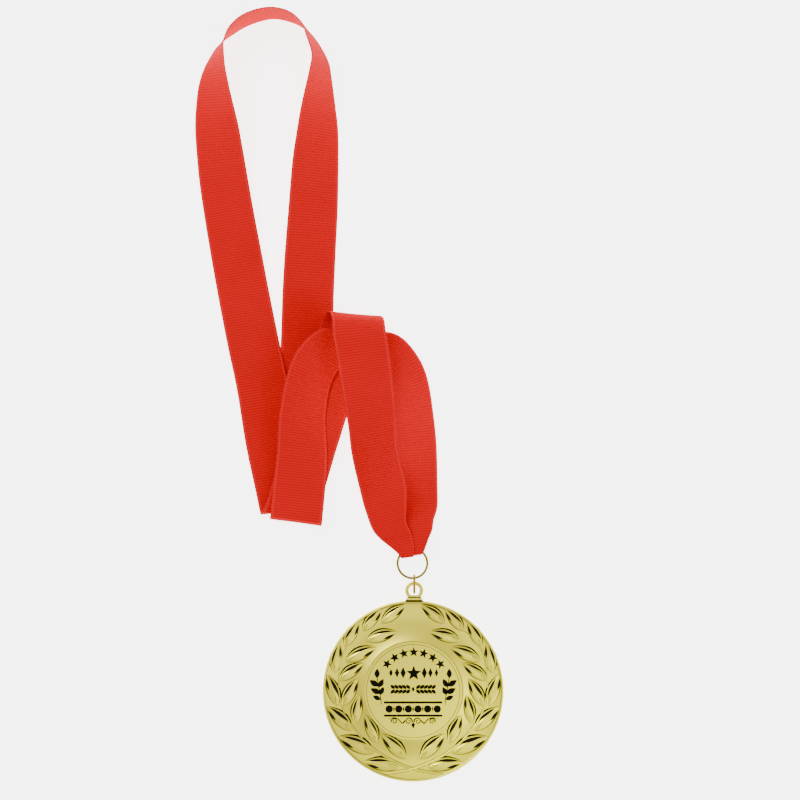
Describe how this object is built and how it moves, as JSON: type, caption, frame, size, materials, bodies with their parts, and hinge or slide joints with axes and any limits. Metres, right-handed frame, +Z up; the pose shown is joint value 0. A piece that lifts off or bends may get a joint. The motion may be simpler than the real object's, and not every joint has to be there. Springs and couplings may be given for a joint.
{
  "type": "medal on a neck ribbon",
  "caption": "Round cast medal with a relief laurel wreath, hung by wire rings from a folded V-neck ribbon; the disc and rings swing.",
  "frame": {"origin": "centre of the disc's flat back face, on the surface that the medal lies on", "axes": "+Y from the disc towards the ribbon, +Z up, away from the flat back face"},
  "size_m": [0.1197, 0.2956, 0.0203],
  "materials": {
    "cast_gold": "satin plated casting, darkened in the recesses",
    "printed_plate": "satin gold with a black print",
    "adhesive": "clear film",
    "jump_ring_wire": "bright plated wire",
    "ribbon_ring_wire": "bright plated wire",
    "red_ribbon": "ribbed grosgrain weave",
    "seam_thread": "sewing thread"
  },
  "bodies": {
    "ribbon": {"ribbon_front_tip": "red_ribbon", "ribbon_front_strand": "red_ribbon", "ribbon_front_fold": "red_ribbon", "ribbon_front_return": "red_ribbon", "ribbon_left_fold": "red_ribbon", "ribbon_left_leg": "red_ribbon", "ribbon_neck_arc": "red_ribbon", "ribbon_right_leg": "red_ribbon", "ribbon_right_fold": "red_ribbon", "ribbon_back_return": "red_ribbon", "ribbon_back_fold": "red_ribbon", "ribbon_back_strand": "red_ribbon", "ribbon_back_tip": "red_ribbon", "seam_thread": "seam_thread"},
    "ribbon_ring": {"ribbon_ring": "ribbon_ring_wire"},
    "jump_ring": {"jump_ring": "jump_ring_wire"},
    "disc": {"medal_disc": "cast_gold", "centre_plate": "printed_plate", "adhesive_film": "adhesive"}
  },
  "joints": [
    {"name": "ring_tilt", "type": "hinge", "parent": "ribbon", "child": "ribbon_ring", "pos_m": [-0.0005, 0.054, 0.00375], "axis": [0.9925, 0.1219, 0], "range_deg": [-15, 15]},
    {"name": "jump_ring_tilt", "type": "hinge", "parent": "ribbon_ring", "child": "jump_ring", "pos_m": [0.0004, 0.0439, 0.00375], "axis": [1, 0, 0], "range_deg": [-120, 60]},
    {"name": "disc_swing", "type": "hinge", "parent": "jump_ring", "child": "disc", "pos_m": [0.0004, 0.0389, 0.0019], "axis": [0, 0, 1], "range_deg": [-60, 60]}
  ]
}
